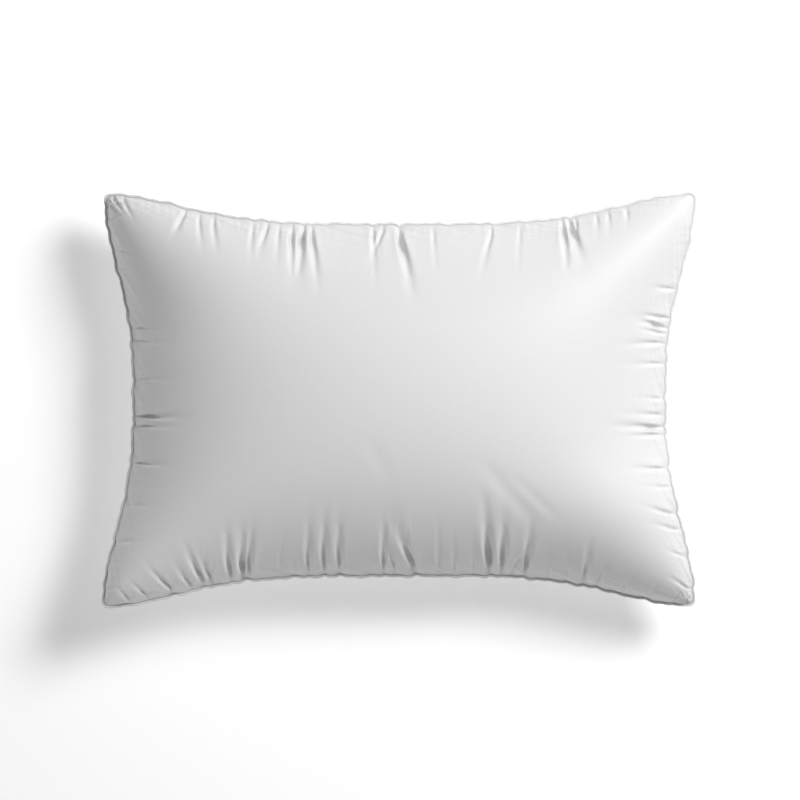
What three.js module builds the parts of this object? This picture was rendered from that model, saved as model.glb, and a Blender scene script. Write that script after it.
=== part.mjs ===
// Bed pillow: two cotton panels sewn together round a corded piping, filled with loose fibre.
// Millimetres, +Z up. The pillow lies flat, X along its long sides and Y along its short sides.
// The origin is on the surface it rests on, under its middle.

import * as THREE from 'three';
import { LoftGeometry } from 'three/addons/geometries/LoftGeometry.js';
import { mergeVertices } from 'three/addons/utils/BufferGeometryUtils.js';

// ---- driving dimensions -------------------------------------------------------------------

// Where the panels fold at the seam, measured from the middle of the filled pillow.
// Each panel is cut 700 x 500 mm, and the filling draws the seam in from that.
const cornerHalfLength = 330;
const cornerHalfWidth = 230;
const waistHalfLength = 297;
const waistHalfWidth = 196;
const cornerRadius = 6;
const longSideWaist = 2;
const shortSideWaist = 1.35;

// The crown of each panel above or below the seam, and how full its section is.
const seamHeight = 98;
const crown = 106;
const crownFullness = 2.4;
const cornerFullness = 0.9;

// The layers of the seam, from its middle plane outwards.
const layerGap = 0.3;
const tapeThickness = 0.4;
const panelThickness = 0.6;
const seamAllowance = 10;
const trimmedAllowance = 4.2;

// Piping, threads and label.
const pipingRadius = 1.5;
const cordRadius = 0.65;
const threadRadius = 0.25;
const seamLineInset = 2.4;
const overlockThickness = 0.4;
const overlockBite = 0.75;
const closingHalfLength = 110;
const labelPlace = 195;
const labelWidth = 34;
const labelThickness = 0.4;
const labelClearance = 0.8;

// The filling keeps clear of the panels and of the seam layers.
const fillClearance = 2;
const fillReach = 0.925;

// How finely each outline and each crown is divided.
const longSideSteps = 14;
const shortSideSteps = 10;
const cornerSteps = 3;
const crownRings = [0.12, 0.28, 0.44, 0.6, 0.74, 0.86, 0.94, 0.985, 1];
const labelRings = [0.9995, 0.985, 0.94, 0.9];
const fillRings = [0.12, 0.3, 0.5, 0.68, 0.8, 0.88, fillReach];

// Heights of the seam layers above and below the seam's middle plane.
const legInside = layerGap / 2;
const legOutside = legInside + tapeThickness;
const panelInside = legOutside + layerGap;
const panelOutside = panelInside + panelThickness;

// ---- outline of the seam -------------------------------------------------------------------

// How far along from the waist of a side to its corner an edge has moved out, 0 to 1.
function spread(along, waist) {
  return (1 - Math.cos(Math.PI * Math.abs(along) ** waist)) / 2;
}

// Walks round the unit square, its corners rounded, giving the places that every ring shares.
function seamStations() {
  const stations = [];
  const roundX = cornerRadius / cornerHalfLength;
  const roundY = cornerRadius / cornerHalfWidth;
  const quarter = Math.PI / 2;
  for (let side = 0; side < 4; side += 1) {
    const steps = side % 2 === 0 ? shortSideSteps : longSideSteps;
    const direction = side * quarter;
    const out = new THREE.Vector2(Math.cos(direction), Math.sin(direction)).round();
    const along = new THREE.Vector2(-out.y, out.x);
    const straight = 1 - Math.abs(along.x) * roundX - Math.abs(along.y) * roundY;
    for (let step = 0; step <= steps; step += 1) {
      const reach = straight * (2 * step / steps - 1);
      stations.push({
        a: out.x + along.x * reach,
        b: out.y + along.y * reach,
        trimmed: step === 0 || step === steps,
      });
    }
    const cornerX = out.x + along.x;
    const cornerY = out.y + along.y;
    for (let step = 1; step < cornerSteps; step += 1) {
      const angle = direction + quarter * step / cornerSteps;
      stations.push({
        a: cornerX - roundX * (Math.sign(cornerX) - Math.cos(angle)),
        b: cornerY - roundY * (Math.sign(cornerY) - Math.sin(angle)),
        trimmed: true,
      });
    }
  }
  return stations;
}

// Plan position of a point of the unit square: its edges are drawn in between the corners.
function planPoint(a, b) {
  const halfLength = waistHalfLength + (cornerHalfLength - waistHalfLength) * spread(b, shortSideWaist);
  const halfWidth = waistHalfWidth + (cornerHalfWidth - waistHalfWidth) * spread(a, longSideWaist);
  return new THREE.Vector2(a * halfLength, b * halfWidth);
}

const stations = seamStations();
const seamLine = stations.map(({ a, b }) => planPoint(a, b));

// Outward direction in plan at each station of the seam.
const seamOutward = seamLine.map((point, index) => {
  const next = seamLine[(index + 1) % seamLine.length];
  const last = seamLine[(index + seamLine.length - 1) % seamLine.length];
  const run = next.clone().sub(last).normalize();
  return new THREE.Vector2(run.y, -run.x);
});

// A ring that follows the seam: out is its distance outside the fold, up its height over the seam.
function seamRing(out, up) {
  return seamLine.map((point, index) => {
    const distance = typeof out === 'function' ? out(index) : out;
    const moved = point.clone().addScaledVector(seamOutward[index], distance);
    return new THREE.Vector3(moved.x, moved.y, seamHeight + up);
  });
}

// The allowance is clipped at the corners so that the seam turns flat.
function allowanceAt(index) {
  return stations[index].trimmed ? trimmedAllowance : seamAllowance;
}

// ---- crowned surfaces ------------------------------------------------------------------------

// Height of the crown over the seam, at a point of the unit square.
function crownHeight(a, b) {
  const across = Math.abs(a) ** crownFullness;
  const along = Math.abs(b) ** crownFullness;
  return crown * Math.sqrt((1 - across) * (1 - along) / (1 - cornerFullness * across * along));
}

// One ring of a panel's outer face. side is 1 for the face panel and -1 for the back panel,
// which is pressed flat where the pillow rests.
function crownRing(size, side) {
  return stations.map(({ a, b }, index) => {
    const up = panelInside + crownHeight(a * size, b * size);
    const plan = seamLine[index];
    return new THREE.Vector3(plan.x * size, plan.y * size, Math.max(0, seamHeight + side * up));
  });
}

// Moves every point of a set of rings along the surface's own normal, into the pillow.
function sunkRings(rings, depth, side) {
  const count = stations.length;
  return rings.map((ring, level) => ring.map((point, index) => {
    const inner = rings[Math.max(level - 1, 0)][index];
    const outer = rings[Math.min(level + 1, rings.length - 1)][index];
    const round = ring[(index + 1) % count].clone().sub(ring[(index + count - 1) % count]);
    const normal = outer.clone().sub(inner).cross(round).normalize();
    return point.clone().addScaledVector(normal, -depth * side);
  }));
}

// ---- making solids -----------------------------------------------------------------------------

// Welds a geometry into one closed skin with its faces pointing out.
function closedSkin(geometry) {
  const bare = new THREE.BufferGeometry().copy(geometry);
  bare.deleteAttribute('normal');
  bare.deleteAttribute('uv');
  const skin = mergeVertices(bare, 1e-4);
  const places = skin.getAttribute('position');
  const corners = skin.getIndex().array;
  const point = (corner) => new THREE.Vector3().fromBufferAttribute(places, corner);
  const kept = [];
  let volume = 0;
  for (let start = 0; start < corners.length; start += 3) {
    const [p, q, r] = corners.slice(start, start + 3);
    if (p !== q && q !== r && r !== p) {
      kept.push(p, q, r);
      volume += point(p).dot(point(q).cross(point(r)));
    }
  }
  skin.setIndex(volume > 0 ? kept : kept.reverse());
  skin.computeVertexNormals();
  return skin;
}

function solid(name, sections, material) {
  const mesh = new THREE.Mesh(closedSkin(new LoftGeometry(sections)), material);
  mesh.name = name;
  return mesh;
}

// Closes both ends of a run of sections, each with a fan round its own middle.
function closedEnds(sections) {
  const middle = (section) => {
    const sum = section.reduce((total, point) => total.add(point), new THREE.Vector3());
    return section.map(() => sum.clone().divideScalar(section.length));
  };
  return [middle(sections[0]), ...sections, middle(sections[sections.length - 1])];
}

// A solid that runs all the way round the seam. Each point of its section is a ring.
function seamLoop(name, section, material) {
  const rings = section.map(([out, up]) => seamRing(out, up));
  return solid(name, [...rings, rings[0]], material);
}

// Points of a round section, counted round its centre.
function roundSection(out, up, radius, count) {
  return Array.from({ length: count }, (unused, step) => {
    const angle = 2 * Math.PI * step / count;
    return [out + radius * Math.cos(angle), up + radius * Math.sin(angle)];
  });
}

// ---- the pieces ----------------------------------------------------------------------------------

const cotton = { color: 0xf1f1f0, roughness: 0.75, metalness: 0 };
const thread = { color: 0xf6f6f4, roughness: 0.55, metalness: 0 };

// A panel is a thin crowned shell. Its edge folds in at the seam and lies flat as the allowance.
function panel(name, side) {
  const outside = crownRings.map((size) => crownRing(size, side));
  const inside = sunkRings(outside, panelThickness, side).slice(0, -1).reverse();
  const sections = [
    ...outside,
    seamRing((index) => -allowanceAt(index), side * panelInside),
    seamRing((index) => -allowanceAt(index), side * panelOutside),
    seamRing(-panelThickness, side * panelOutside),
    ...inside,
  ];
  return solid(name, closedEnds(sections), new THREE.MeshStandardMaterial(cotton));
}

// The filling is one soft mass with a blunt edge, clear of the seam layers.
function fibreFill() {
  const half = (side) => sunkRings(fillRings.map((size) => crownRing(size, side)), fillClearance, side);
  const sections = [...half(1), ...half(-1).reverse()];
  const material = new THREE.MeshStandardMaterial({ color: 0xfafafa, roughness: 1, metalness: 0 });
  return solid('fibre_fill', closedEnds(sections), material);
}

// The piping strip is folded round its cord, and its two legs lie between the panels' allowances.
function pipingTape() {
  const centre = layerGap + pipingRadius;
  const hollow = pipingRadius - tapeThickness;
  const arc = (radius, from, to) => Array.from({ length: 7 }, (unused, step) => {
    const angle = from + (to - from) * step / 6;
    return [centre + radius * Math.cos(angle), radius * Math.sin(angle)];
  });
  const outerEnd = Math.PI - Math.asin(legOutside / pipingRadius);
  const innerEnd = Math.PI - Math.asin(legInside / hollow);
  const inward = (index) => -allowanceAt(index);
  const section = [
    [inward, legOutside],
    ...arc(pipingRadius, outerEnd, -outerEnd),
    [inward, -legOutside],
    [inward, -legInside],
    ...arc(hollow, -innerEnd, innerEnd),
    [inward, legInside],
  ];
  return seamLoop('piping_tape', section, new THREE.MeshStandardMaterial(cotton));
}

function pipingCord() {
  const material = new THREE.MeshStandardMaterial({ color: 0xefece4, roughness: 0.9, metalness: 0 });
  return seamLoop('piping_cord', roundSection(layerGap + pipingRadius, 0, cordRadius, 6), material);
}

// The lockstitch has one thread over the face allowance and one under the back allowance.
function seamThread(name, side) {
  const up = side * (panelOutside + layerGap + threadRadius);
  const section = roundSection(-seamLineInset, up, threadRadius, 4);
  return seamLoop(name, section, new THREE.MeshStandardMaterial(thread));
}

// The overlocking wraps the raw edges of all the layers, as a channel open towards the seam.
function overlockThread() {
  const inside = panelOutside + layerGap;
  const outside = inside + overlockThickness;
  const mouth = (index) => -allowanceAt(index) * overlockBite;
  const floor = (index) => -allowanceAt(index) - layerGap;
  const back = (index) => floor(index) - overlockThickness;
  const section = [
    [mouth, outside],
    [back, outside],
    [back, -outside],
    [mouth, -outside],
    [mouth, -inside],
    [floor, -inside],
    [floor, inside],
    [mouth, inside],
  ];
  return seamLoop('overlock_thread', section, new THREE.MeshStandardMaterial(thread));
}

// The gap left for filling, in the middle of a short side, is shut by stitches under the piping.
function closingThread() {
  const centreOut = layerGap + threadRadius;
  const centreUp = -pipingRadius - layerGap - threadRadius;
  const rings = roundSection(centreOut, centreUp, threadRadius, 6).map(([out, up]) => seamRing(out, up));
  const inGap = (plan) => plan.x < 0 && Math.abs(plan.y) <= closingHalfLength;
  const places = seamLine.flatMap((plan, index) => (inGap(plan) ? [index] : []));
  const sections = places.map((index) => rings.map((ring) => ring[index]));
  return solid('closing_thread', closedEnds(sections), new THREE.MeshStandardMaterial(thread));
}

// A point on the flank of the back panel, under the long side nearest -Y.
function flankPoint(x, size) {
  const along = x / (cornerHalfLength * size);
  const plan = planPoint(along, -1).multiplyScalar(size);
  const drop = panelInside + crownHeight(along * size, size);
  return new THREE.Vector3(plan.x, plan.y, seamHeight - drop);
}

// The label hangs from the seam of that long side and lies on the flank of the back panel.
function careLabel() {
  const edges = [-labelPlace - labelWidth / 2, -labelPlace + labelWidth / 2];
  const layer = (size, distance) => edges.map((x) => {
    const place = flankPoint(x, size);
    const across = flankPoint(x + 1, size).sub(place);
    const upward = flankPoint(x, size + 1e-4).sub(place);
    return place.addScaledVector(across.cross(upward).normalize(), distance);
  });
  const sections = labelRings.map((size) => [
    ...layer(size, labelClearance),
    ...layer(size, labelClearance + labelThickness).reverse(),
  ]);
  const material = new THREE.MeshStandardMaterial({ color: 0xf4f4f2, roughness: 0.45, metalness: 0 });
  return solid('care_label', closedEnds(sections), material);
}

// ---- the pillow -------------------------------------------------------------------------------------

const pillow = new THREE.Group();
pillow.add(
  panel('face_panel', 1),
  panel('back_panel', -1),
  fibreFill(),
  pipingTape(),
  pipingCord(),
  seamThread('seam_needle_thread', 1),
  seamThread('seam_bobbin_thread', -1),
  overlockThread(),
  closingThread(),
  careLabel(),
);

export default pillow;
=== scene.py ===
import math

import bmesh
import bpy
import numpy as np
from mathutils import Matrix, Vector, noise
from mathutils.kdtree import KDTree


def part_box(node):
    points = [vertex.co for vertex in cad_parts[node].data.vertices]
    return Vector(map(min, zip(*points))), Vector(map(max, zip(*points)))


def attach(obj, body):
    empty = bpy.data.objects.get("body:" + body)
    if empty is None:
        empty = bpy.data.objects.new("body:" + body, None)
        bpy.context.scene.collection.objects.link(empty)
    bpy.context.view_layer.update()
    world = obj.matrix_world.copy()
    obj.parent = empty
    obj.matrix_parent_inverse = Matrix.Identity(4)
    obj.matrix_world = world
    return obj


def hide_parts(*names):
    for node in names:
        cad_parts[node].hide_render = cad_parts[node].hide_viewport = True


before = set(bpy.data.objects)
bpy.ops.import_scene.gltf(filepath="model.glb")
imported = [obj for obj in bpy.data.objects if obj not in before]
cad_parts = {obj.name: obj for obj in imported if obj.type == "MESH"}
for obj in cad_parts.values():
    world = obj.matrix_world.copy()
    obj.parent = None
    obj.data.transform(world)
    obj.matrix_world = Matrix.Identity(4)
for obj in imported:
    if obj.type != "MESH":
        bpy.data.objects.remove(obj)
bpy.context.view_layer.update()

# ---- Camera ---------------------------------------------------------------------------------
# It looks straight down on the pillow, square to its sides, through a long lens, so that the
# whole seam shows round the crown.
LENS_MM = 200
SENSOR_MM = 36
VIEW_WIDTH = 0.8965
VIEW_MIDDLE = (0.0005, 0.0)

seam_low, seam_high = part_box("piping_tape")
seam_height = (seam_low[2] + seam_high[2]) / 2
camera = bpy.data.objects.new("camera", bpy.data.cameras.new("camera"))
camera.data.lens = LENS_MM
camera.data.sensor_width = SENSOR_MM
camera.data.clip_end = 50
camera.location = (*VIEW_MIDDLE, seam_height + VIEW_WIDTH * LENS_MM / SENSOR_MM)
bpy.context.scene.collection.objects.link(camera)
bpy.context.scene.camera = camera
bpy.context.scene.view_settings.view_transform = "Standard"

# ---- Face and back panels -------------------------------------------------------------------
# Two rectangles of white cotton percale, sewn together all round and turned right side out. The
# filling blows them up, which draws the seam in between the corners, and the cloth that the seam
# takes up stands in gathers across it.
CUT_LENGTH = 0.700
CUT_WIDTH = 0.500
WAIST_HALF_LENGTH = 0.297
WAIST_HALF_WIDTH = 0.196
LONG_SIDE_WAIST = 2
SHORT_SIDE_WAIST = 1.35
CORNER_RADIUS = 0.006
NO_LENGTH = 1e-9
START_CROWN = 0.095
CROWN_FULLNESS = 2.4
CORNER_FULLNESS = 0.9
SEAM_HOLD = 0.008
FLANK_REACH = 0.04
CELLS_LONG = 140
CELLS_SHORT = 100
FINE_BAND = 0.070

# Each gather: its place along the side from -1 to 1, the cloth it takes up in mm, how far it
# reaches into the panel in mm, and how much it leans along the side on its way in.
FAR_SIDE = [
    (-0.98, 1.4, 12, 0.6), (-0.94, 1.6, 16, 0.4), (-0.73, 3.0, 24, -0.4), (-0.68, 1.4, 28, 0),
    (-0.63, 1.8, 24, 0), (-0.50, 1.0, 38, -0.1), (-0.45, 2.2, 28, -0.3), (-0.41, 1.0, 34, -0.1),
    (-0.365, 2.6, 54, -0.05), (-0.32, 5.0, 42, -0.15), (-0.285, 3.0, 62, 0), (-0.083, 2.0, 26, 0),
    (-0.045, 2.5, 24, -0.4), (0.012, 5.0, 58, 0.12), (0.13, 0.8, 30, 0), (0.32, 1.6, 44, -0.2),
    (0.41, 0.7, 30, 0), (0.55, 3.0, 48, 0.15), (0.58, 5.0, 38, 0.3), (0.61, 1.5, 14, 0),
    (0.68, 1.0, 10, 0), (0.72, 1.0, 10, 0), (0.78, 1.0, 10, 0),
]
NEAR_SIDE = [
    (-0.91, 1.0, 16, -0.8), (-0.85, 1.2, 20, -0.8), (-0.77, 2.0, 38, -0.7), (-0.71, 2.0, 22, -0.5),
    (-0.665, 3.0, 55, -0.4), (-0.635, 2.5, 28, -0.4), (-0.57, 3.0, 58, -0.15),
    (-0.525, 5.0, 36, -0.1), (-0.50, 3.0, 54, -0.05), (-0.40, 0.6, 20, 0), (-0.305, 2.2, 62, -0.05),
    (-0.25, 3.0, 68, -0.05), (-0.197, 2.6, 66, -0.05), (-0.052, 2.5, 46, 0), (-0.01, 1.5, 32, -0.3),
    (0.055, 4.0, 52, -0.35), (0.137, 1.0, 26, 0), (0.187, 0.8, 22, 0), (0.25, 1.0, 14, 0),
    (0.305, 5.5, 76, -0.02), (0.353, 4.0, 70, 0.05), (0.39, 2.0, 22, 0.5), (0.437, 4.0, 52, 0.1),
    (0.515, 0.8, 16, 0), (0.576, 0.8, 14, 0), (0.633, 3.0, 40, 0.15), (0.68, 2.0, 20, 0.35),
    (0.76, 1.0, 22, 0.5), (0.845, 1.0, 20, 0.6), (0.93, 1.5, 18, 0.7), (0.975, 1.6, 14, 0.8),
]
LEFT_SIDE = [
    (-0.92, 0.8, 12, 0), (-0.70, 0.8, 20, 0), (-0.53, 0.8, 24, 0), (-0.33, 2.0, 28, 0),
    (-0.15, 2.2, 26, 0.1), (-0.08, 3.8, 34, 0), (0.11, 1.2, 28, 0), (0.29, 1.6, 24, 0),
    (0.36, 1.6, 22, 0), (0.72, 1.0, 20, 0), (0.87, 1.6, 16, 0.4), (0.94, 1.6, 13, 0.5),
]
RIGHT_SIDE = [
    (-0.93, 2.0, 16, 0.5), (-0.77, 1.2, 12, 0.3), (-0.64, 1.6, 20, 0.2), (-0.56, 2.0, 24, 0.2),
    (-0.43, 1.2, 14, 0), (-0.34, 2.2, 28, 0), (-0.18, 2.0, 24, 0), (-0.13, 4.0, 32, 0),
    (-0.06, 1.6, 20, 0), (0.02, 0.8, 14, 0), (0.18, 1.4, 20, 0), (0.28, 2.0, 26, 0),
    (0.33, 1.6, 22, 0.2), (0.37, 3.6, 26, 0.2), (0.43, 2.4, 22, 0), (0.57, 1.6, 14, 0),
]

# How the cloth stands at a gather. A width is a least width in metres, plus a share of the cloth
# taken up, plus a share of the way in by which it fans out.
GATHER_WIDTH = (0.0016, 0.5, 0.05)
GATHER_FADE = 1.1
GATHER_FADE_START = 0.012
FURROW_WIDTH = (0.0030, 0.5, 0)
FURROW_FADE = 1.6
KINK_SHARE = 0.4
KINK_WIDTH = 0.0045
KINK_REACH = 0.006
TUCK_WIDTH = (0.0020, 0.42, 0.06)
TUCK_DEPTH_SHARE = 1.5
TUCK_REACH_SHARE = 0.15
TUCK_REACH_START = 0.003
TUCK_RIDGES = 0.7

corner_half_length, corner_half_width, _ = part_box("face_panel")[1]


class Gathers:
    """The gathers of one side: where its cloth is taken up, and how the cloth stands there."""

    def __init__(self, gathers, cut_half, seam_half):
        self.middle, take_up, reach, self.lean = np.array(gathers, dtype=float).T[:, :, None]
        self.take_up = 0.001 * take_up
        self.reach = 0.001 * reach
        self.cut_half = cut_half
        self.share = 2 * (cut_half - seam_half) / self.take_up.sum()

    def across(self, place, depth):
        """Metres across each gather from its middle line."""
        return (place - self.middle) * self.cut_half - self.lean * depth

    def width(self, shape, depth):
        least, share, fanning = shape
        return least + share * self.take_up + fanning * depth

    def drawn(self, place, depth):
        """Where a place along the cut edge comes to lie, as a share of the drawn-in side."""
        width = self.width(GATHER_WIDTH, depth)
        inward = depth / (GATHER_FADE * self.reach + GATHER_FADE_START)
        fade = self.share * self.take_up / 2 * np.exp(-inward ** 2)
        here, start, end = (
            (fade * np.tanh(self.across(spot, depth) / width)).sum(axis=0) for spot in (place, -1, 1)
        )
        from_start = (place + 1) * self.cut_half - (here - start)
        return 2 * from_start / (2 * self.cut_half - (end - start)) - 1

    def buckled(self, place, depth):
        """First buckle of the cloth: a furrow at each gather, between two ridges."""
        wide = (self.across(place, depth) / self.width(FURROW_WIDTH, depth)) ** 2
        inward = depth / self.reach
        furrow = self.take_up * inward * np.exp(1 - FURROW_FADE * inward - wide) * (1 - wide)
        return -furrow.sum(axis=0)

    def kinked(self, place, depth):
        """How far the seam itself is pulled in where a gather meets it."""
        kink = KINK_SHARE * self.take_up * np.exp(-(self.across(place, 0) / KINK_WIDTH) ** 2)
        return kink.sum(axis=0) * np.exp(-depth / KINK_REACH)

    def tucked(self, place, depth):
        """The sharp tuck that starts each gather at the seam."""
        wide = (self.across(place, depth) / self.width(TUCK_WIDTH, depth)) ** 2
        inward = depth / (TUCK_REACH_SHARE * self.reach + TUCK_REACH_START)
        deepest = TUCK_DEPTH_SHARE * self.take_up
        tuck = deepest * inward * np.exp(1 - inward - wide) * (1 - TUCK_RIDGES * wide)
        return -tuck.sum(axis=0)


far_side = Gathers(FAR_SIDE, CUT_LENGTH / 2, corner_half_length)
near_side = Gathers(NEAR_SIDE, CUT_LENGTH / 2, corner_half_length)
left_side = Gathers(LEFT_SIDE, CUT_WIDTH / 2, corner_half_width)
right_side = Gathers(RIGHT_SIDE, CUT_WIDTH / 2, corner_half_width)


def depths(q, r):
    """How far in from a short and from a long cut edge points of the unit square lie."""
    return (1 - np.abs(q)) * CUT_LENGTH / 2, (1 - np.abs(r)) * CUT_WIDTH / 2


def by_side(measure, q, r):
    """A measure of the nearer long side's gathers, and one of the nearer short side's."""
    deep_x, deep_y = depths(q, r)
    from_long = np.where(r > 0, measure(far_side, q, deep_y), measure(near_side, q, deep_y))
    from_short = np.where(q > 0, measure(right_side, r, deep_x), measure(left_side, r, deep_x))
    return from_long, from_short


def spread(along, waist):
    """How far from the waist of a side to its corner an edge has moved out, 0 to 1."""
    return (1 - np.cos(np.pi * np.minimum(np.abs(along), 1) ** waist)) / 2


def in_plan(a, b):
    """Plan of points of the unit square: sides drawn in between the corners, corners rounded."""
    widening = corner_half_length - WAIST_HALF_LENGTH, corner_half_width - WAIST_HALF_WIDTH
    half_length = WAIST_HALF_LENGTH + widening[0] * spread(b, SHORT_SIDE_WAIST)
    half_width = WAIST_HALF_WIDTH + widening[1] * spread(a, LONG_SIDE_WAIST)
    x, y = np.abs(a) * half_length, np.abs(b) * half_width
    into_x = np.maximum(x - corner_half_length + CORNER_RADIUS, 0)
    into_y = np.maximum(y - corner_half_width + CORNER_RADIUS, 0)
    longest = np.maximum(into_x, into_y)
    shrink = longest / np.maximum(np.hypot(into_x, into_y), NO_LENGTH)
    x = np.where(longest > 0, x - into_x * (1 - shrink), x)
    y = np.where(longest > 0, y - into_y * (1 - shrink), y)
    return np.sign(a) * x, np.sign(b) * y


def first_form(q, r, side):
    """Where points of a cut panel lie before the filling swells them. side is 1, -1 or 0."""
    deep_x, deep_y = depths(q, r)
    a, b = by_side(Gathers.drawn, q, r)
    x, y = in_plan(a, b)
    across, along = np.abs(a) ** CROWN_FULLNESS, np.abs(b) ** CROWN_FULLNESS
    full = (1 - across) * (1 - along) / (1 - CORNER_FULLNESS * across * along)
    kink_y, kink_x = by_side(Gathers.kinked, q, r)
    buckle_y, buckle_x = by_side(Gathers.buckled, q, r)
    inside = np.minimum(np.minimum(deep_x, deep_y) / SEAM_HOLD, 1)
    steep_y, steep_x = np.exp(-deep_y / FLANK_REACH), np.exp(-deep_x / FLANK_REACH)
    y = y + np.sign(r) * (inside * buckle_y * steep_y - kink_y)
    x = x + np.sign(q) * (inside * buckle_x * steep_x - kink_x)
    z = side * START_CROWN * np.sqrt(np.maximum(full, 0))
    z = z + side * inside * (buckle_y * (1 - steep_y / 2) + buckle_x * (1 - steep_x / 2))
    return np.stack([x, y, z], axis=1)


def sewn_panels():
    """Both cut panels as one bag on the unit square: two grids that meet at the seam."""
    hair = 0.1 / CELLS_LONG
    bm = bmesh.new()
    bmesh.ops.create_grid(bm, x_segments=CELLS_LONG, y_segments=CELLS_SHORT, size=1)
    near_seam = set()
    for part in bm.faces:
        middle = part.calc_center_median()
        if min(depths(middle.x, middle.y)) < FINE_BAND:
            near_seam.update(part.edges)
    bmesh.ops.subdivide_edges(bm, edges=list(near_seam), cuts=1, use_grid_fill=True)
    copy = bmesh.ops.duplicate(bm, geom=bm.verts[:] + bm.edges[:] + bm.faces[:])["geom"]
    back_faces = [part for part in copy if isinstance(part, bmesh.types.BMFace)]
    back_verts = {part for part in copy if isinstance(part, bmesh.types.BMVert)}
    bmesh.ops.reverse_faces(bm, faces=back_faces)
    for part in back_faces:
        part.material_index = 1
    for vert in bm.verts:
        on_seam = max(abs(vert.co.x), abs(vert.co.y)) > 1 - 2 * hair
        vert.co.z = 0 if on_seam else (-1 if vert in back_verts else 1)
    bmesh.ops.remove_doubles(bm, verts=bm.verts[:], dist=hair)
    mesh = bpy.data.meshes.new("sewn_panels")
    bm.to_mesh(mesh)
    bm.free()
    return mesh


def rows_of(items, key):
    """One vector per vertex or loop of a mesh, as rows."""
    width = 2 if key == "uv" else 3
    flat = np.empty(len(items) * width)
    items.foreach_get(key, flat)
    return flat.reshape(-1, width)


def add_object(name, mesh):
    piece = bpy.data.objects.new(name, mesh)
    bpy.context.scene.collection.objects.link(piece)
    return piece


def as_shown(piece):
    """The piece's mesh with its modifiers applied."""
    shown = piece.evaluated_get(bpy.context.evaluated_depsgraph_get())
    return bpy.data.meshes.new_from_object(shown)


# The filling presses evenly on cloth that hardly stretches. The seam is held on its line, and
# the rest swells until the cloth is tight. The cloth settings are in the solver's own units.
FILLING_PRESSURE = 300
CLOTH_STIFFNESS = 40
CLOTH_SHEAR = 5
CLOTH_BENDING = 0.02
CLOTH_DAMPING = 5
CLOTH_MASS = 0.02
CLOTH_QUALITY = 6
SWELLING_STEPS = 20
CUT_GAP = 0.0003


def swollen(mesh):
    """The bag as the filling blows it up. It keeps where each of its points lay in the cut."""
    bag = add_object("bag", mesh)
    square = rows_of(mesh.vertices, "co")
    cut = mesh.attributes.new("cut", "FLOAT_VECTOR", "POINT")
    cut.data.foreach_set("vector", square.ravel())
    mesh.vertices.foreach_set("co", first_form(*square.T).ravel())
    bag.shape_key_add(name="first_form")
    as_cut = bag.shape_key_add(name="as_cut")
    as_cut.data.foreach_set("co", (square * (CUT_LENGTH / 2, CUT_WIDTH / 2, CUT_GAP)).ravel())
    seam = bag.vertex_groups.new(name="seam")
    seam.add([int(index) for index in np.flatnonzero(square[:, 2] == 0)], 1, "REPLACE")
    cloth = bag.modifiers.new("filling", "CLOTH")
    settings = cloth.settings
    settings.quality = CLOTH_QUALITY
    settings.mass = CLOTH_MASS
    settings.tension_stiffness = settings.compression_stiffness = CLOTH_STIFFNESS
    settings.shear_stiffness = CLOTH_SHEAR
    settings.bending_stiffness = CLOTH_BENDING
    settings.tension_damping = settings.compression_damping = CLOTH_DAMPING
    settings.shear_damping = CLOTH_DAMPING
    settings.use_pressure = True
    settings.uniform_pressure_force = FILLING_PRESSURE
    settings.vertex_group_mass = "seam"
    settings.rest_shape_key = as_cut
    settings.effector_weights.gravity = 0
    cloth.collision_settings.use_collision = False
    cloth.point_cache.frame_end = SWELLING_STEPS
    for step in range(1, SWELLING_STEPS + 1):
        bpy.context.scene.frame_set(step)
    result = as_shown(bag)
    bpy.data.objects.remove(bag)
    return result


bag_mesh = swollen(sewn_panels())

# Each panel is one layer of cloth. Its edge folds in at the seam and lies flat inside as the
# allowance, clipped at the corners. The back is pressed flat where the pillow rests.
PANEL_THICKNESS = 0.0005
HALF_SEAM = 0.0011
ALLOWANCE = 0.010
CLIPPED_ALLOWANCE = 0.0035
CLIPPED_END = 0.012
CLIPPED_START = 0.038
FLOOR_SOFTNESS = 0.0015
SEAM_WAVE = 0.00045
SEAM_WAVE_LENGTHS = (0.0029, 0.0047, 0.0083)
SEAM_WAVE_SHIFT = 1000
SEAM_WAVE_START = 0.02
SEAM_WAVE_REACH = 0.010
FINE_HOLD = 0.003
CRUSH_SIZE = 0.0045
CRUSH_STRETCH = 0.35
CRUSH_DEPTH = 0.0030
CRUSH_REACH = 0.019
PUCKER_SIZE = 0.0045
PUCKER_STRETCH = 0.25
PUCKER_DEPTH = 0.0009
PUCKER_REACH = 0.008
PUCKER_END = 0.03

# Slack creases across the face: where each starts and ends in plan, its width and its depth.
SLACK_CREASES = [
    ((0.095, -0.072), (0.147, -0.132), 0.011, 0.0011),
    ((0.120, -0.080), (0.174, -0.130), 0.008, 0.0007),
    ((-0.033, -0.044), (-0.014, -0.086), 0.012, 0.0005),
]
SLACK_RIDGES = 0.8

# The corners stand free of the floor. How far each droops or lifts from the seam's plane: far
# left, far right, near left, near right. Two are twisted besides, so that the far left one faces
# its short side and the near right one its long side.
CORNER_LIFTS = (-0.018, 0.004, 0.020, -0.018)
BEND_START = 0.3
CORNER_TWIST = 0.034
TWIST_START = 0.12
TWIST_FULL = 0.5


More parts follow.
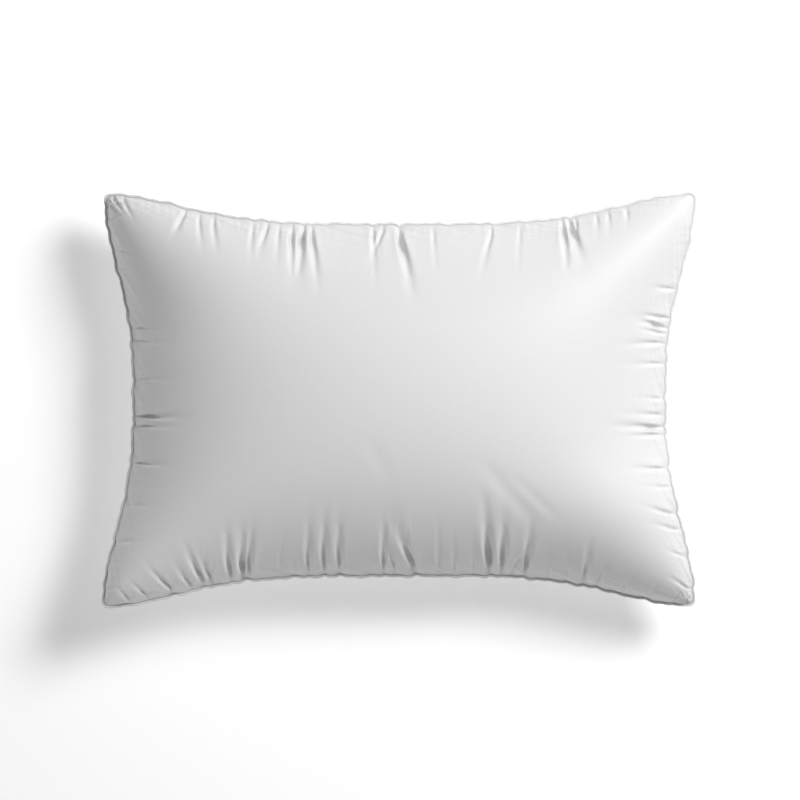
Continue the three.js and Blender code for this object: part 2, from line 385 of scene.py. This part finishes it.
def settled(q, r, spots):
    """Points of the pillow with its seam waving a little and its corners bent out of the plane."""
    far_left, far_right, near_left, near_right = CORNER_LIFTS
    far_corner = np.where(q < 0, far_left, far_right)
    corner = np.where(r > 0, far_corner, np.where(q < 0, near_left, near_right))
    out_x = np.abs(spots[:, 0]) / corner_half_length
    out_y = np.abs(spots[:, 1]) / corner_half_width
    lift = corner * np.clip((out_x * out_y - BEND_START) / (1 - BEND_START), 0, None) ** 2
    ramp = np.clip((out_x * out_y - TWIST_START) / (TWIST_FULL - TWIST_START), 0, 1)
    twist = CORNER_TWIST * ramp ** 2 * (3 - 2 * ramp) * (out_y - out_x)
    lift += np.where(q * r < 0, np.where(q < 0, twist, -twist), 0)
    deep_x, deep_y = depths(q, r)
    beside_long = deep_y < deep_x
    place = np.where(beside_long, q * CUT_LENGTH / 2 + r, r * CUT_WIDTH / 2 + q)
    waves = sum(np.sin(place / length + SEAM_WAVE_SHIFT * length) for length in SEAM_WAVE_LENGTHS)
    fade = np.clip(np.maximum(deep_x, deep_y) / SEAM_WAVE_START, 0, 1)
    wave = SEAM_WAVE * waves * fade * np.exp(-np.minimum(deep_x, deep_y) / SEAM_WAVE_REACH)
    shift_x = np.where(beside_long, 0, np.sign(q) * wave)
    shift_y = np.where(beside_long, np.sign(r) * wave, 0)
    return spots + np.stack([shift_x, shift_y, lift], axis=1)


def roughness_at(spots, size):
    """Smooth noise, about -1 to 1, in lumps of the given size."""
    return np.array([noise.noise(Vector(spot) / size) for spot in spots])


def slackened(x, y):
    """Depth of the slack creases at points of the face."""
    total = np.zeros_like(x)
    for start, end, width, depth in SLACK_CREASES:
        length = math.dist(start, end)
        run_x, run_y = (end[0] - start[0]) / length, (end[1] - start[1]) / length
        along = (x - start[0]) * run_x + (y - start[1]) * run_y
        wide = (((x - start[0]) * run_y - (y - start[1]) * run_x) / width) ** 2
        total -= depth * np.exp(-(2 * along / length - 1) ** 4 - wide) * (1 - SLACK_RIDGES * wide)
    return total


def crushed(q, r):
    """The crumpled cloth of the two corners where the turned seam is bunched."""
    deep_x, deep_y = depths(q, r)
    away = np.where(q * r < 0, np.hypot(deep_x, deep_y), 1)
    total = np.zeros_like(q)
    near = np.flatnonzero(away < 3 * CRUSH_REACH)
    folds = np.stack([deep_x - deep_y, CRUSH_STRETCH * away, np.sign(q)], axis=1)[near]
    rough = 2 * np.abs(roughness_at(folds, CRUSH_SIZE)) + roughness_at(folds, CRUSH_SIZE / 2) - 0.5
    total[near] = CRUSH_DEPTH * rough * np.exp(-(away[near] / CRUSH_REACH) ** 2)
    return total


def puckered(q, r):
    """Fine puckers that the stitching draws into the cloth all along the seam."""
    deep_x, deep_y = depths(q, r)
    total = np.zeros_like(q)
    near = np.flatnonzero(np.minimum(deep_x, deep_y) < PUCKER_END)
    deep = np.minimum(deep_x, deep_y)[near]
    along = np.where(deep_x < deep_y, r * CUT_WIDTH / 2, q * CUT_LENGTH / 2)[near]
    side = np.sign(q[near]) + 2 * np.sign(r[near])
    rough = roughness_at(np.stack([along, PUCKER_STRETCH * deep, side], axis=1), PUCKER_SIZE)
    total[near] = PUCKER_DEPTH * rough * np.exp(-deep / PUCKER_REACH)
    return total


def turned_in(q, r):
    """How far the allowance of points on the seam reaches in, along X and along Y."""
    deep_x, deep_y = depths(q, r)
    away = np.maximum(deep_x, deep_y)
    full = np.clip((away - CLIPPED_END) / (CLIPPED_START - CLIPPED_END), 0, 1)
    reach = CLIPPED_ALLOWANCE + (ALLOWANCE - CLIPPED_ALLOWANCE) * full
    return tuple(reach * np.clip(1 - deep / CLIPPED_END, 0, 1) for deep in (deep_x, deep_y))


def on_floor(height):
    """Heights of the underside, pressed flat where they would lie below the floor."""
    return FLOOR_SOFTNESS * np.logaddexp(0, height / FLOOR_SOFTNESS)


def panel_mesh(name, side):
    """One panel out of the swollen bag, refined, with its tucks, creases and crushed corners."""
    bm = bmesh.new()
    bm.from_mesh(bag_mesh)
    other = [part for part in bm.faces if (part.material_index == 0) != (side == 1)]
    bmesh.ops.delete(bm, geom=other, context="FACES")
    mesh = bpy.data.meshes.new(name)
    bm.to_mesh(mesh)
    bm.free()
    coarse = add_object("coarse_" + name, mesh)
    finer = coarse.modifiers.new("finer", "SUBSURF")
    finer.levels = finer.render_levels = 1
    fine = as_shown(coarse)
    bpy.data.objects.remove(coarse)
    q, r, _ = rows_of(fine.attributes["cut"].data, "vector").T
    spots = rows_of(fine.vertices, "co")
    inside = np.minimum(np.minimum(*depths(q, r)) / FINE_HOLD, 1)
    lift = inside * (sum(by_side(Gathers.tucked, q, r)) + crushed(q, r) + puckered(q, r))
    if side == 1:
        lift += slackened(spots[:, 0], spots[:, 1])
    spots += rows_of(fine.vertices, "normal") * lift[:, None]
    spots = settled(q, r, spots)
    spots[:, 2] += seam_height + side * HALF_SEAM
    if side == -1:
        spots[:, 2] = on_floor(spots[:, 2])
    fine.vertices.foreach_set("co", spots.ravel())
    corners = np.empty(len(fine.loops), dtype=np.int32)
    fine.loops.foreach_get("vertex_index", corners)
    flat = np.stack([q * CUT_LENGTH / 2, r * CUT_WIDTH / 2], axis=1)[corners]
    fine.uv_layers.new(name="cloth").data.foreach_set("uv", flat.ravel())
    return fine


def turn_in_allowance(mesh):
    """Folds the panel's edge in at the seam, as a flat strip with a sharp fold."""
    bm = bmesh.new()
    bm.from_mesh(mesh)
    cut = bm.verts.layers.float_vector["cut"]
    rim = [part for part in bm.edges if part.is_boundary]
    for part in rim:
        part.smooth = False
    turned = bmesh.ops.extrude_edge_only(bm, edges=rim)["geom"]
    verts = [part for part in turned if isinstance(part, bmesh.types.BMVert)]
    reach_x, reach_y = turned_in(*np.array([vert[cut][:2] for vert in verts]).T)
    for vert, in_x, in_y in zip(verts, reach_x, reach_y):
        vert.co.x -= math.copysign(in_x, vert.co.x)
        vert.co.y -= math.copysign(in_y, vert.co.y)
    bm.to_mesh(mesh)
    bm.free()


def panel(name, node, side):
    """A finished panel in place of its CAD node. side is 1 for the face and -1 for the back."""
    mesh = panel_mesh(name, side)
    turn_in_allowance(mesh)
    mesh.shade_smooth()
    piece = add_object(name, mesh)
    layer = piece.modifiers.new("one_layer", "SOLIDIFY")
    layer.thickness = PANEL_THICKNESS
    layer.offset = -1
    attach(piece, "root")
    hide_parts(node)
    return piece


face_cloth = panel("face_cloth", "face_panel", 1)
back_cloth = panel("back_cloth", "back_panel", -1)


def linear(code):
    """An sRGB hex colour as linear red, green, blue and alpha."""
    values = [int(code[start:start + 2], 16) / 255 for start in (0, 2, 4)]
    return tuple(v / 12.92 if v <= 0.04045 else ((v + 0.055) / 1.055) ** 2.4 for v in values) + (1,)


def add_node(made, kind, inputs, **settings):
    """Adds a node to a material with its settings. Each input is a value or the socket that feeds it."""
    node = made.node_tree.nodes.new(kind)
    for key, value in settings.items():
        setattr(node, key, value)
    for key, value in inputs.items():
        if isinstance(value, bpy.types.NodeSocket):
            made.node_tree.links.new(value, node.inputs[key])
        else:
            node.inputs[key].default_value = value
    return node.outputs


def new_material(name):
    made = bpy.data.materials.new(name)
    made.use_nodes = True
    made.node_tree.nodes.clear()
    return made


def dress(piece, made):
    piece.data.materials.clear()
    piece.data.materials.append(made)


# Cotton percale: fine combed yarns in plain weave, pressed smooth. To the eye it is an even white
# with a soft shine, a faint grain of crossing yarns and a few longer, thicker ones. Its colour is
# darker in the hollows between the yarns, as painted shade. Its yarns lie 0.25 mm apart, and they
# are drawn at twice that so that they show. A wave texture of scale 1 repeats every WAVE_PERIOD.
YARN_SPACING = 0.0005
YARN_RELIEF = 0.4
THICK_YARN_WIDTH = 0.0016
THICK_YARN_LENGTH = 0.030
WAVE_PERIOD = math.pi / 10


def percale(name, white, shaded_hollow, bias):
    """Plain-woven cotton: white on its yarns, painted shade in the hollows between, its grain turned by
    bias.
    """
    made = new_material(name)
    flat = add_node(made, "ShaderNodeUVMap", {}, uv_map="cloth")["UV"]
    cloth = add_node(made, "ShaderNodeMapping", {"Vector": flat, "Rotation": (0, 0, bias)})["Vector"]
    yarns = []
    for direction, size in (
        ("X", (THICK_YARN_WIDTH, THICK_YARN_LENGTH)),
        ("Y", (THICK_YARN_LENGTH, THICK_YARN_WIDTH)),
    ):
        scale = WAVE_PERIOD / YARN_SPACING
        wave = {"Vector": cloth, "Scale": scale, "Distortion": 0.6, "Detail": 1}
        ridge = add_node(made, "ShaderNodeTexWave", wave, bands_direction=direction)["Fac"]
        stretch = {"Vector": cloth, "Scale": (1 / size[0], 1 / size[1], 1)}
        streak = add_node(made, "ShaderNodeMapping", stretch)["Vector"]
        thick = add_node(made, "ShaderNodeTexNoise", {"Vector": streak, "Scale": 1, "Detail": 2})["Fac"]
        both = {0: ridge, 1: YARN_RELIEF, 2: thick}
        yarns.append(add_node(made, "ShaderNodeMath", both, operation="MULTIPLY_ADD")["Value"])
    height = add_node(made, "ShaderNodeMath", {0: yarns[0], 1: yarns[1]}, operation="MAXIMUM")["Value"]
    # The colour follows the yarns' height: darker in the hollows between them as painted shade, and
    # paler at random along the thicker yarns.
    share = {"Value": height, "From Min": 0.4, "From Max": 1.1}
    slub_tone_and_hollow_shade = add_node(made, "ShaderNodeMapRange", share)["Result"]
    blend = {"Factor": slub_tone_and_hollow_shade, 6: linear(shaded_hollow), 7: linear(white)}
    colour = add_node(made, "ShaderNodeMix", blend, data_type="RGBA")[2]
    relief = {"Height": height, "Distance": 0.00004, "Strength": 0.5}
    finish = {
        "Base Color": colour,
        "Normal": add_node(made, "ShaderNodeBump", relief)["Normal"],
        "Roughness": 0.55,
        "Specular IOR Level": 0.4,
        "Sheen Weight": 0.15,
        "Sheen Roughness": 0.4,
    }
    shader = add_node(made, "ShaderNodeBsdfPrincipled", finish)["BSDF"]
    add_node(made, "ShaderNodeOutputMaterial", {"Surface": shader})
    return made


# The second colour is the painted shade in the hollows between the yarns.
shell_percale = percale("cotton_percale", "e8e8e8", "e3e3e3", 0)
dress(face_cloth, shell_percale)
dress(back_cloth, shell_percale)

# ---- Fibre filling --------------------------------------------------------------------------
# Loose hollow polyester fibre, blown in through the gap at one end. It fills the bag nearly to
# the seam, and its surface is a soft felt of crimped fibres in small tufts.
FILLING_SHARE = (0.94, 0.93, 0.92)
TUFT_SIZE = 0.018
TUFT_HEIGHT = 0.0018

filling = bag_mesh.copy()
filling_spots = rows_of(filling.vertices, "co") * FILLING_SHARE
tufts = TUFT_HEIGHT * roughness_at(filling_spots, TUFT_SIZE)
filling_spots += rows_of(filling.vertices, "normal") * tufts[:, None]
filling_q, filling_r, _ = rows_of(filling.attributes["cut"].data, "vector").T
filling_spots = settled(filling_q, filling_r, filling_spots)
resting = on_floor(filling_spots[:, 2] / FILLING_SHARE[2] + seam_height)
filling_spots[:, 2] = seam_height + (resting - seam_height) * FILLING_SHARE[2]
filling.vertices.foreach_set("co", filling_spots.ravel())
filling.shade_smooth()
fibre_batt = add_object("fibre_batt", filling)
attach(fibre_batt, "root")
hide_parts("fibre_fill")

# Siliconised polyester fibre: bright, matt and downy, in curls a few millimetres across.
FIBRE_CURL = 0.004

downy = new_material("polyester_fibre")
spot = add_node(downy, "ShaderNodeTexCoord", {})["Object"]
curls = {"Vector": spot, "Scale": 1 / FIBRE_CURL, "Detail": 6, "Roughness": 0.7}
curl = add_node(downy, "ShaderNodeTexNoise", curls)["Fac"]
fluff = {"Factor": curl, 6: linear("d6d6d6"), 7: linear("fafafa")}
nap = {"Height": curl, "Distance": 0.001}
finish = {
    "Base Color": add_node(downy, "ShaderNodeMix", fluff, data_type="RGBA")[2],
    "Normal": add_node(downy, "ShaderNodeBump", nap)["Normal"],
    "Roughness": 1,
    "Sheen Weight": 0.5,
}
shader = add_node(downy, "ShaderNodeBsdfPrincipled", finish)["BSDF"]
add_node(downy, "ShaderNodeOutputMaterial", {"Surface": shader})
dress(fibre_batt, downy)

# ---- Piping ---------------------------------------------------------------------------------
# A bias strip of the same percale, folded round a cord to 3 mm across. Its two legs are sewn in
# between the panels' allowances, so only the round edge shows, drawn into small wrinkles.
PIPING_RADIUS = 0.0015
PIPING_CENTRE_OUT = 0.00145
TAPE_THICKNESS = 0.0004
LEG_LENGTH = 0.0035
LEG_GAP = 0.0001
PIPING_STATIONS = 1900
ARC_STEPS = 14
WRINKLE_SIZE = 0.005
WRINKLE_SHARE = 0.09
WRINKLE_STRETCH = 0.6


def round_seam(share):
    """Points of the seam, from a share of the way round the cut edge."""
    turns = np.cumsum([0, CUT_LENGTH, CUT_WIDTH, CUT_LENGTH, CUT_WIDTH])
    here = (share % 1) * turns[-1]
    q = np.interp(here, turns, (-1, 1, 1, -1, -1))
    r = np.interp(here, turns, (-1, -1, 1, 1, -1))
    return q, r, settled(q, r, first_form(q, r, 0)) + (0, 0, seam_height)


def seam_line(share):
    return round_seam(share)[2]


def swept(name, path, section, stations, around):
    """A tube round the whole pillow. path is its middle line, section its outline across it."""
    bm = bmesh.new()
    bmesh.ops.create_grid(bm, x_segments=stations, y_segments=around, size=0.5)
    along, turn = (np.array([vert.co[:2] for vert in bm.verts]) + 0.5).T
    run = path(along + 0.5 / stations) - path(along - 0.5 / stations)
    run /= np.linalg.norm(run, axis=1)[:, None]
    out = np.cross(run, (0, 0, 1))
    out /= np.linalg.norm(out, axis=1)[:, None]
    wide, high = section(along, turn)
    spots = path(along) + out * wide[:, None] + np.cross(out, run) * high[:, None]
    cloth = bm.loops.layers.uv.new("cloth")
    length, girth = 2 * (CUT_LENGTH + CUT_WIDTH), 2 * math.pi * PIPING_RADIUS
    for part in bm.faces:
        for loop in part.loops:
            here = loop.vert.index
            loop[cloth].uv = (along[here] * length, turn[here] * girth)
    for vert, place in zip(bm.verts, spots):
        vert.co = place
    bmesh.ops.remove_doubles(bm, verts=bm.verts[:], dist=1e-6)
    bmesh.ops.recalc_face_normals(bm, faces=bm.faces[:])
    mesh = bpy.data.meshes.new(name)
    bm.to_mesh(mesh)
    bm.free()
    mesh.shade_smooth()
    return add_object(name, mesh)


def folded_outline():
    """Outline of the folded strip across the seam: a round fold with two flat legs."""
    outline = []
    for radius, flat, turn in (
        (PIPING_RADIUS, LEG_GAP + TAPE_THICKNESS, 1),
        (PIPING_RADIUS - TAPE_THICKNESS, LEG_GAP, -1),
    ):
        widest = math.pi - math.asin(flat / radius)
        leg = -PIPING_CENTRE_OUT - LEG_LENGTH
        outline.append((leg, turn * flat, 0))
        for step in range(ARC_STEPS + 1):
            angle = turn * widest * (1 - 2 * step / ARC_STEPS)
            outline.append((radius * math.cos(angle), radius * math.sin(angle), 1))
        outline.append((leg, -turn * flat, 0))
    return np.array(outline)


strip_outline = folded_outline()


def strip_section(along, turn):
    count = len(strip_outline)
    out, up, on_arc = strip_outline[np.rint(turn * count).astype(int) % count].T
    way = along * 2 * (CUT_LENGTH + CUT_WIDTH)
    round_way = np.stack([way, WRINKLE_STRETCH * out, WRINKLE_STRETCH * up], axis=1)
    wrinkle = 1 + on_arc * WRINKLE_SHARE * roughness_at(round_way, WRINKLE_SIZE)
    return PIPING_CENTRE_OUT + out * wrinkle, up * wrinkle


piping = swept("piping", seam_line, strip_section, PIPING_STATIONS, len(strip_outline))
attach(piping, "root")
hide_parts("piping_tape")

# The same percale cut at 45 degrees, so that it bends round the corners. Its grain runs slantwise.
# Its second colour is the painted shade in the hollows between its yarns.
dress(piping, percale("bias_percale", "eaeaea", "e0e0e0", math.pi / 4))

# ---- Piping cord ----------------------------------------------------------------------------
# Soft cotton filler cord of three strands, laid up with a long twist. It lies in the fold of the
# strip, which hides it, and the seam beside it holds it there.
CORD_RADIUS = 0.00092
CORD_STRANDS = 3
STRAND_BULGE = 0.13
CORD_TWISTS = 150
CORD_STATIONS = 2000
CORD_SIDES = 12


def cord_section(along, turn):
    angle = 2 * math.pi * turn
    lobes = np.cos(CORD_STRANDS * (angle - 2 * math.pi * CORD_TWISTS * along))
    radius = CORD_RADIUS * (1 + STRAND_BULGE * lobes)
    return PIPING_CENTRE_OUT + radius * np.cos(angle), radius * np.sin(angle)


filler_cord = swept("filler_cord", seam_line, cord_section, CORD_STATIONS, CORD_SIDES)
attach(filler_cord, "root")
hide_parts("piping_cord")

# Carded cotton: soft, unbleached and fuzzy, with fine fibres across it.
COTTON_FUZZ = 0.0006


def fuzzy(name, light, dark, size, rough):
    """A spun yarn or cord: fine fibres that break up its colour and its surface."""
    made = new_material(name)
    place = add_node(made, "ShaderNodeTexCoord", {})["Object"]
    fibres = {"Vector": place, "Scale": 1 / size, "Detail": 4}
    fibre = add_node(made, "ShaderNodeTexNoise", fibres)["Fac"]
    tones = {"Factor": fibre, 6: linear(dark), 7: linear(light)}
    surface = {
        "Base Color": add_node(made, "ShaderNodeMix", tones, data_type="RGBA")[2],
        "Normal": add_node(made, "ShaderNodeBump", {"Height": fibre, "Distance": size / 8})["Normal"],
        "Roughness": rough,
        "Sheen Weight": 0.3,
    }
    shown = add_node(made, "ShaderNodeBsdfPrincipled", surface)["BSDF"]
    add_node(made, "ShaderNodeOutputMaterial", {"Surface": shown})
    return made


dress(filler_cord, fuzzy("carded_cotton", "f2efe6", "d8d3c6", COTTON_FUZZ, 0.9))

# ---- Seam threads ---------------------------------------------------------------------------
# Spun polyester thread. A lockstitch holds all the layers 2.4 mm in from the edge: the needle
# thread lies on the face's allowance and the bobbin thread on the back's, and they lock halfway.
# An overlocking thread wraps the raw edges.
THREAD_RADIUS = 0.00015
SEAM_INSET = 0.0024
STITCH_COUNT = 900
STATIONS_PER_STITCH = 4
STITCH_DIP = 0.9
OVERLOCK_COUNT = 560
OVERLOCK_START = 0.8
OVERLOCK_MIDDLE = 0.6
OVERLOCK_SWING = 0.55
THREAD_SIDES = 6


def inward_of(share, inset):
    """Points inside the seam line, by an inset along X and along Y, at the seam's height."""
    q, r, spots = round_seam(share)
    in_x, in_y = inset(q, r)
    return spots - np.stack([np.sign(q) * in_x, np.sign(r) * in_y, 0 * in_x], axis=1)


def stitched_inset(q, r):
    deep_x, deep_y = depths(q, r)
    return tuple(SEAM_INSET * np.clip(1 - deep / CLIPPED_END, 0, 1) for deep in (deep_x, deep_y))


def lockstitch(side):
    """The path of one thread of the lockstitch, above (1) or below (-1) the seam's layers."""
    def path(share):
        spots = inward_of(share, stitched_inset)
        dip = np.maximum(np.cos(2 * math.pi * STITCH_COUNT * share), 0) ** 2
        spots[:, 2] += side * (HALF_SEAM + THREAD_RADIUS) * (1 - STITCH_DIP * dip)
        return spots
    return path


def wrapping(share):
    """The overlocking thread: round and round the allowances' raw edge as it goes along."""
    turn = 2 * math.pi * OVERLOCK_COUNT * share
    inner = inward_of(share, lambda q, r: tuple(OVERLOCK_START * reach for reach in turned_in(q, r)))
    edge = inward_of(share, turned_in) - inner
    spots = inner + edge * (OVERLOCK_MIDDLE + OVERLOCK_SWING * np.cos(turn))[:, None]
    spots[:, 2] += (HALF_SEAM + 2 * THREAD_RADIUS) * np.sin(turn)
    return spots


def thread_section(along, turn):
    angle = 2 * math.pi * turn
    return THREAD_RADIUS * np.cos(angle), THREAD_RADIUS * np.sin(angle)


spun_polyester = fuzzy("spun_polyester_thread", "f6f6f6", "dedede", 0.0003, 0.5)
for name, node, path, loops in (
    ("needle_stitches", "seam_needle_thread", lockstitch(1), STITCH_COUNT),
    ("bobbin_stitches", "seam_bobbin_thread", lockstitch(-1), STITCH_COUNT),
    ("overlocking", "overlock_thread", wrapping, OVERLOCK_COUNT),
):
    thread = swept(name, path, thread_section, STATIONS_PER_STITCH * loops, THREAD_SIDES)
    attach(thread, "root")
    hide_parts(node)
    dress(thread, spun_polyester)

# ---- Closing stitches -----------------------------------------------------------------------
# The gap in one short side, through which the fibre went in, is whipped shut by hand: a row of
# small slanted stitches from the back panel over the underside of the piping.
closing_low, closing_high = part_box("closing_thread")
CLOSING_PITCH = 0.0032
CLOSING_STITCH_LENGTH = 0.0026
CLOSING_SLANT = math.radians(35)
CLOSING_ARCH = 0.0004
CLOSING_OUT = 0.0002
CLOSING_RADIUS = 1.6 * THREAD_RADIUS
LEFT_SIDE_START = (2 * CUT_LENGTH + CUT_WIDTH) / (2 * CUT_LENGTH + 2 * CUT_WIDTH)
LEFT_SIDE_STATIONS = 400

left_spots = seam_line(np.linspace(LEFT_SIDE_START, 1, LEFT_SIDE_STATIONS)[1:-1])
stitches = bmesh.new()
for count in range(int((closing_high[1] - closing_low[1]) / CLOSING_PITCH) + 1):
    y = closing_high[1] - count * CLOSING_PITCH
    x = float(np.interp(-y, -left_spots[:, 1], left_spots[:, 0]))
    stitch = bmesh.ops.create_icosphere(stitches, subdivisions=2, radius=1)["verts"]
    size = (CLOSING_STITCH_LENGTH / 2, CLOSING_RADIUS, CLOSING_RADIUS)
    bmesh.ops.scale(stitches, verts=stitch, vec=size)
    for vert in stitch:
        vert.co.z -= CLOSING_ARCH * (1 - (2 * vert.co.x / CLOSING_STITCH_LENGTH) ** 2)
    slant = Matrix.Rotation(CLOSING_SLANT, 3, "Z")
    bmesh.ops.rotate(stitches, verts=stitch, cent=(0, 0, 0), matrix=slant)
    middle = (x - CLOSING_OUT, y, seam_height - HALF_SEAM - THREAD_RADIUS)
    bmesh.ops.translate(stitches, verts=stitch, vec=middle)
closing_mesh = bpy.data.meshes.new("closing_stitches")
stitches.to_mesh(closing_mesh)
stitches.free()
closing_mesh.shade_smooth()
closing_stitches = add_object("closing_stitches", closing_mesh)
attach(closing_stitches, "root")
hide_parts("closing_thread")
dress(closing_stitches, spun_polyester)

# ---- Care label -----------------------------------------------------------------------------
# A blank satin label, sewn into the seam of the long side and lying on the flank of the back.
# Its free end is turned under as a hem.
LABEL_WIDTH = 0.034
LABEL_LENGTH = 0.046
LABEL_THICKNESS = 0.0003
LABEL_CLEARANCE = 0.0010
LABEL_CLEAR_FROM = 1 / 6
LABEL_CELLS = (20, 30)
LABEL_CURL = 0.0015
HEM_LENGTH = 0.006
HEM_LIFT = 0.0003
LABEL_RUN_STEPS = 40
CLOTH_NEIGHBOURS = 90
CLOTH_BLUR = 0.006
CLOTH_BAND = 0.08
SEAM_EDGE = 0.9999
GATHER_TOPS = 0.0003

label_low, label_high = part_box("care_label")
back_mesh = back_cloth.data
back_q, back_r, _ = rows_of(back_mesh.attributes["cut"].data, "vector").T
back_spots = rows_of(back_mesh.vertices, "co")
beside = np.flatnonzero((depths(back_q, back_r)[1] < CLOTH_BAND) & (back_r < 0) & (back_q < 0))
cloth_tree = KDTree(len(beside))
for index in beside:
    cloth_tree.insert((back_q[index] * CUT_LENGTH / 2, back_r[index] * CUT_WIDTH / 2, 0), int(index))
cloth_tree.balance()
on_seam = beside[back_r[beside] < -SEAM_EDGE]
nearest = on_seam[np.argmin(np.abs(back_spots[on_seam, 0] - (label_low[0] + label_high[0]) / 2))]
label_middle = back_q[nearest] * CUT_LENGTH / 2


def on_back(u, v):
    """A place over the back panel and its outward direction: a plane fitted to the cloth around
    it, raised to the tops of its gathers, which the label bridges."""
    spot = np.array((label_middle + u, v - CUT_WIDTH / 2, 0))
    near = cloth_tree.find_n(spot, CLOTH_NEIGHBOURS)
    cloth = back_spots[[index for _, index, _ in near]]
    weights = np.exp(-(np.array([away for _, _, away in near]) / CLOTH_BLUR) ** 2)[:, None]
    around = np.array([tuple(place - Vector(spot))[:2] + (1,) for place, _, _ in near])
    along_u, along_v, place = np.linalg.lstsq(around * weights, cloth * weights, rcond=None)[0]
    outward = np.cross(along_v, along_u)
    outward /= np.linalg.norm(outward)
    height = (cloth - around @ (along_u, along_v, place)) @ outward
    rise = GATHER_TOPS * np.log(np.average(np.exp(height / GATHER_TOPS), weights=weights[:, 0]))
    return place + rise * outward, outward


# The filling stretches the panel across this seam but not the label, which keeps its own length.
cloth_run = np.linspace(0, LABEL_LENGTH, LABEL_RUN_STEPS)
run_places = np.array([on_back(0, v)[0] for v in cloth_run])
run_steps = np.linalg.norm(np.diff(run_places, axis=0), axis=1)
label_run = np.concatenate([[0], np.cumsum(run_steps)])

label_bm = bmesh.new()
bmesh.ops.create_grid(label_bm, x_segments=LABEL_CELLS[0], y_segments=LABEL_CELLS[1], size=0.5)
label_uv = label_bm.loops.layers.uv.new("cloth")
for part in label_bm.faces:
    for loop in part.loops:
        loop[label_uv].uv = (loop.vert.co.x * LABEL_WIDTH, loop.vert.co.y * LABEL_LENGTH)
for vert in label_bm.verts:
    u, v = vert.co.x * LABEL_WIDTH, (vert.co.y + 0.5) * LABEL_LENGTH
    place, outward = on_back(u, float(np.interp(v, label_run, cloth_run)))
    free = v / LABEL_LENGTH
    hem = HEM_LIFT if v > LABEL_LENGTH - HEM_LENGTH else 0
    curl = LABEL_CURL * free ** 2 * (1 + math.cos(2 * math.pi * vert.co.x))
    vert.co = place + outward * (LABEL_CLEARANCE * min(1, free / LABEL_CLEAR_FROM) + curl + hem)
label_mesh = bpy.data.meshes.new("care_label_satin")
label_bm.to_mesh(label_mesh)
label_bm.free()
label_mesh.shade_smooth()
label = add_object("blank_care_label", label_mesh)
ribbon = label.modifiers.new("ribbon", "SOLIDIFY")
ribbon.thickness = LABEL_THICKNESS
ribbon.offset = 1
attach(label, "root")
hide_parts("care_label")

# Polyester satin ribbon: long floats of yarn along its length give it a soft streaky shine, painted
# as lighter streaks in its colour besides its real gloss.
FLOAT_WIDTH = 0.0004
FLOAT_LENGTH = 0.006

satin = new_material("polyester_satin")
label_flat = add_node(satin, "ShaderNodeUVMap", {}, uv_map="cloth")["UV"]
along_floats = {"Vector": label_flat, "Scale": (1 / FLOAT_WIDTH, 1 / FLOAT_LENGTH, 1)}
streaks = add_node(satin, "ShaderNodeMapping", along_floats)["Vector"]
float_height = add_node(satin, "ShaderNodeTexNoise", {"Vector": streaks, "Scale": 1, "Detail": 3})["Fac"]
# Lighter along the floats: painted sheen, on top of the real gloss and anisotropy below.
satin_painted_sheen = {"Factor": float_height, 6: linear("e6e6e4"), 7: linear("f8f8f6")}
satin_finish = {
    "Base Color": add_node(satin, "ShaderNodeMix", satin_painted_sheen, data_type="RGBA")[2],
    "Normal": add_node(satin, "ShaderNodeBump", {"Height": float_height, "Distance": 0.00003})["Normal"],
    "Roughness": 0.35,
    "Specular IOR Level": 0.6,
    "Anisotropic": 0.5,
}
satin_shader = add_node(satin, "ShaderNodeBsdfPrincipled", satin_finish)["BSDF"]
add_node(satin, "ShaderNodeOutputMaterial", {"Surface": satin_shader})
dress(label, satin)

# ---- Floor and lights -----------------------------------------------------------------------
# A pale matt table lit faintly from beneath, which keeps it near white, a softbox beyond the far
# right-hand corner, a weaker and lower one beyond the near left-hand corner, and an even white
# surround.
FLOOR_HALF = 4
FLOOR_DROP = 0.0005
KEY_PLACE = (1.25, 1.02, 2.05)
KEY_SIZE = 1.0
KEY_POWER = 56
FILL_PLACE = (-2.0, -1.6, 0.8)
FILL_SIZE = 1.0
FILL_POWER = 9
SURROUND_STRENGTH = 0.18
TABLE_GLOW = 0.28

floor_bm = bmesh.new()
bmesh.ops.create_grid(floor_bm, x_segments=1, y_segments=1, size=FLOOR_HALF)
bmesh.ops.translate(floor_bm, verts=floor_bm.verts[:], vec=(0, 0, -FLOOR_DROP))
floor_mesh = bpy.data.meshes.new("floor")
floor_bm.to_mesh(floor_mesh)
floor_bm.free()
floor = add_object("floor", floor_mesh)

paper = new_material("pale_paper")
paper_finish = {
    "Base Color": linear("fcfcfc"),
    "Roughness": 0.9,
    "Emission Color": linear("ffffff"),
    "Emission Strength": TABLE_GLOW,
}
paper_shader = add_node(paper, "ShaderNodeBsdfPrincipled", paper_finish)["BSDF"]
add_node(paper, "ShaderNodeOutputMaterial", {"Surface": paper_shader})
dress(floor, paper)

for name, place, size, power in (
    ("key_softbox", KEY_PLACE, KEY_SIZE, KEY_POWER),
    ("fill_softbox", FILL_PLACE, FILL_SIZE, FILL_POWER),
):
    softbox = bpy.data.lights.new(name, "AREA")
    softbox.size = size
    softbox.energy = power
    stand = add_object(name, softbox)
    stand.location = place
    stand.rotation_euler = (-Vector(place)).to_track_quat("-Z", "Y").to_euler()

surround = bpy.data.worlds.new("studio")
surround.use_nodes = True
surround.node_tree.nodes["Background"].inputs["Color"].default_value = (1, 1, 1, 1)
surround.node_tree.nodes["Background"].inputs["Strength"].default_value = SURROUND_STRENGTH
bpy.context.scene.world = surround
